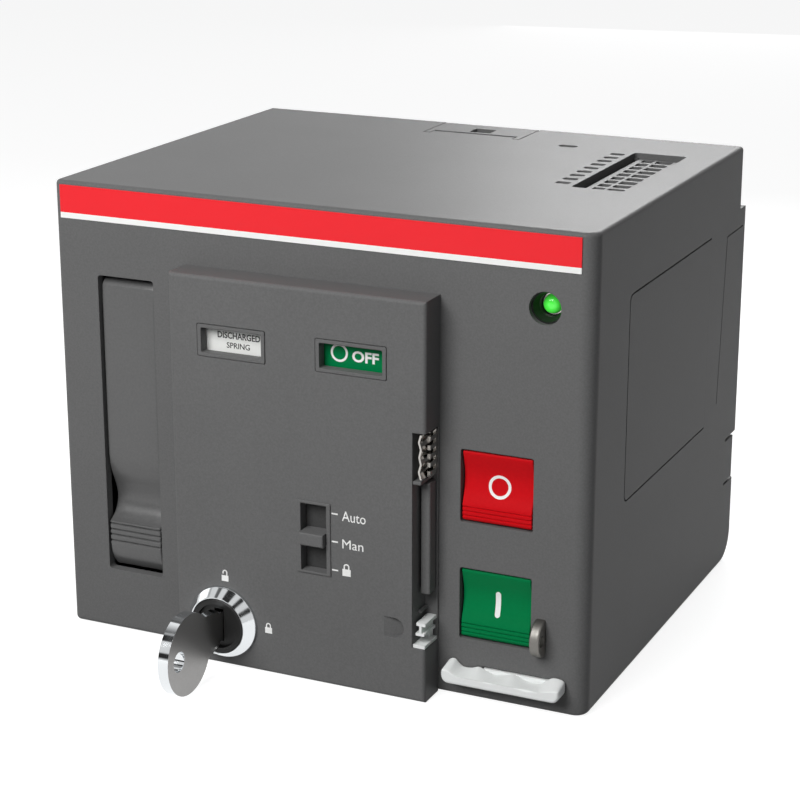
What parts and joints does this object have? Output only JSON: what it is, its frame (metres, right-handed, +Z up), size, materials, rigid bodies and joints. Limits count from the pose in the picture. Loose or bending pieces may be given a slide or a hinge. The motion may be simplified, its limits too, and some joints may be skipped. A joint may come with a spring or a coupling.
{
  "type": "stored-energy motor operator for a moulded-case circuit breaker",
  "caption": "Boxy front-mounted spring-charging operator for a circuit breaker: hand lever, key lock, mode slider, indicator windows, red and green push buttons and a locking tab.",
  "frame": {"origin": "centre of the four mounting screws, in the rear mounting plane", "axes": "+X to the right seen from the front, +Y into the depth towards the breaker, +Z up"},
  "size_m": [0.14, 0.1531, 0.1156],
  "materials": {
    "housing": "fine-textured moulded dark grey",
    "cover": "fine-textured moulded dark grey",
    "label": "printed film",
    "red_plastic": "moulded red",
    "green_plastic": "moulded green",
    "flag_white": "printed flag",
    "flag_green": "printed flag",
    "lens": "translucent green",
    "black_plastic": "moulded black",
    "white_plastic": "moulded light grey",
    "chrome": "polished plate",
    "nickel": "nickel plated",
    "steel": "zinc plated sheet",
    "gear_steel": "machined",
    "spring_steel": "drawn wire",
    "bronze": "sintered bush",
    "board": "circuit board",
    "component": "relay case",
    "fork": "glass-filled nylon"
  },
  "bodies": {
    "housing": {"housing_shell": "housing", "rear_frame": "housing", "side_cover": "housing", "header_label": "label", "front_cover": "cover", "contact_comb": "nickel", "contact_spring": "nickel", "position_clip": "white_plastic", "indicator_plate": "black_plastic", "selector_bezel": "cover", "selector_retainer": "black_plastic", "lock_bezel": "chrome", "lock_barrel": "black_plastic", "lock_nut": "nickel", "off_button_spring": "spring_steel", "on_button_spring": "spring_steel", "button_bracket": "steel", "seal_lug": "nickel", "tab_guide": "black_plastic", "lamp_holder": "black_plastic", "lamp_lens": "lens", "mechanism_plate_left": "steel", "mechanism_plate_right": "steel", "shaft_bushes": "bronze", "motor": "steel", "plate_spacers": "steel", "spring_anchor_bar": "steel", "closing_springs": "spring_steel", "pivot_pins": "steel", "guide_rods": "steel", "control_board": "board", "board_posts": "steel", "board_components": "component", "terminal_block": "black_plastic", "limit_switches": "black_plastic", "screws": "steel"},
    "lever": {"charging_lever": "housing", "pawl_pin": "steel"},
    "drive_pawl": {"drive_pawl": "gear_steel"},
    "holding_pawl": {"holding_pawl": "gear_steel"},
    "charging_shaft": {"charging_shaft": "gear_steel", "ratchet_wheel": "gear_steel", "main_gear": "gear_steel", "rack_pinion": "gear_steel"},
    "idler": {"idler_gear": "gear_steel"},
    "motor_rotor": {"motor_shaft": "gear_steel"},
    "spring_carriage": {"spring_carriage": "steel", "carriage_rack": "gear_steel"},
    "spring_flag": {"spring_flag": "flag_white"},
    "fork": {"operating_fork": "fork"},
    "position_flag": {"position_flag": "flag_green"},
    "mode_slider": {"mode_slider": "cover"},
    "lock_plug": {"lock_plug": "black_plastic", "lock_cam": "steel"},
    "key": {"key": "nickel"},
    "off_button": {"off_button": "red_plastic"},
    "on_button": {"on_button": "green_plastic"},
    "padlock_tab": {"padlock_tab": "white_plastic"},
    "shutter_bar": {"shutter_bar": "cover"},
    "top_latch": {"top_latch": "housing"}
  },
  "joints": [
    {"name": "lever_pull", "type": "hinge", "parent": "housing", "child": "lever", "pos_m": [-0.0508, -0.1114, 0.0313], "axis": [-1, 0, 0], "range_deg": [0, 60], "stiffness_Nm_per_rad": 0.35, "springref_deg": -34.38},
    {"name": "drive_pawl_swing", "type": "hinge", "parent": "lever", "child": "drive_pawl", "pos_m": [-0.052, -0.0874, 0.0313], "axis": [-1, 0, 0], "range_deg": [-12, 12], "stiffness_Nm_per_rad": 0.02},
    {"name": "holding_pawl_swing", "type": "hinge", "parent": "housing", "child": "holding_pawl", "pos_m": [-0.052, -0.054, 0.0236], "axis": [1, 0, 0], "range_deg": [-12, 12], "stiffness_Nm_per_rad": 0.02},
    {"name": "charge", "type": "hinge", "parent": "housing", "child": "charging_shaft", "pos_m": [0, -0.07, 0.0076], "axis": [1, 0, 0], "range_deg": [0, 103.7]},
    {"name": "idler_spin", "type": "hinge", "parent": "housing", "child": "idler", "pos_m": [-0.03, -0.03983, -0.01014], "axis": [1, 0, 0], "range_deg": [-414.8, 0]},
    {"name": "motor_spin", "type": "hinge", "parent": "housing", "child": "motor_rotor", "pos_m": [-0.02, -0.056, -0.033], "axis": [1, 0, 0], "range_deg": [0, 1659.2]},
    {"name": "carriage_lift", "type": "slide", "parent": "housing", "child": "spring_carriage", "axis": [0, 0, 1], "range_m": [0, 0.018], "deforming": ["closing_springs"]},
    {"name": "spring_flag_lift", "type": "slide", "parent": "housing", "child": "spring_flag", "axis": [0, 0, 1], "range_m": [0, 0.0081]},
    {"name": "fork_lift", "type": "slide", "parent": "housing", "child": "fork", "axis": [0, 0, 1], "range_m": [0, 0.028]},
    {"name": "position_flag_drop", "type": "slide", "parent": "housing", "child": "position_flag", "axis": [0, 0, -1], "range_m": [0, 0.0081]},
    {"name": "mode_select", "type": "slide", "parent": "housing", "child": "mode_slider", "axis": [0, 0, 1], "range_m": [-0.0067, 0.0067]},
    {"name": "lock_turn", "type": "hinge", "parent": "housing", "child": "lock_plug", "pos_m": [-0.0212, -0.116, -0.0456], "axis": [0, 1, 0], "range_deg": [0, 90]},
    {"name": "key_withdraw", "type": "slide", "parent": "lock_plug", "child": "key", "axis": [0, -1, 0], "range_m": [0, 0.026]},
    {"name": "off_press", "type": "slide", "parent": "housing", "child": "off_button", "axis": [0, 1, 0], "range_m": [0, 0.0035], "stiffness_N_per_m": 600, "springref_m": -0.002, "deforming": ["off_button_spring"]},
    {"name": "on_press", "type": "slide", "parent": "housing", "child": "on_button", "axis": [0, 1, 0], "range_m": [0, 0.0035], "stiffness_N_per_m": 600, "springref_m": -0.002, "deforming": ["on_button_spring"]},
    {"name": "tab_pull", "type": "slide", "parent": "housing", "child": "padlock_tab", "axis": [0, -1, 0], "range_m": [0, 0.018]},
    {"name": "shutter_slide", "type": "slide", "parent": "housing", "child": "shutter_bar", "axis": [0, 0, -1], "range_m": [0, 0.0036]},
    {"name": "latch_lift", "type": "hinge", "parent": "housing", "child": "top_latch", "pos_m": [0, -0.019, 0.0571], "axis": [1, 0, 0], "range_deg": [0, 8], "stiffness_Nm_per_rad": 0.3, "springref_deg": -11.46}
  ],
  "couplings": [
    {"joint": "charge", "follows": "carriage_lift", "rad_per_m": 100},
    {"joint": "idler_spin", "follows": "carriage_lift", "rad_per_m": -400},
    {"joint": "motor_spin", "follows": "carriage_lift", "rad_per_m": 1600},
    {"joint": "spring_flag_lift", "follows": "carriage_lift", "ratio": 0.44444},
    {"joint": "position_flag_drop", "follows": "fork_lift", "ratio": 0.28571}
  ]
}
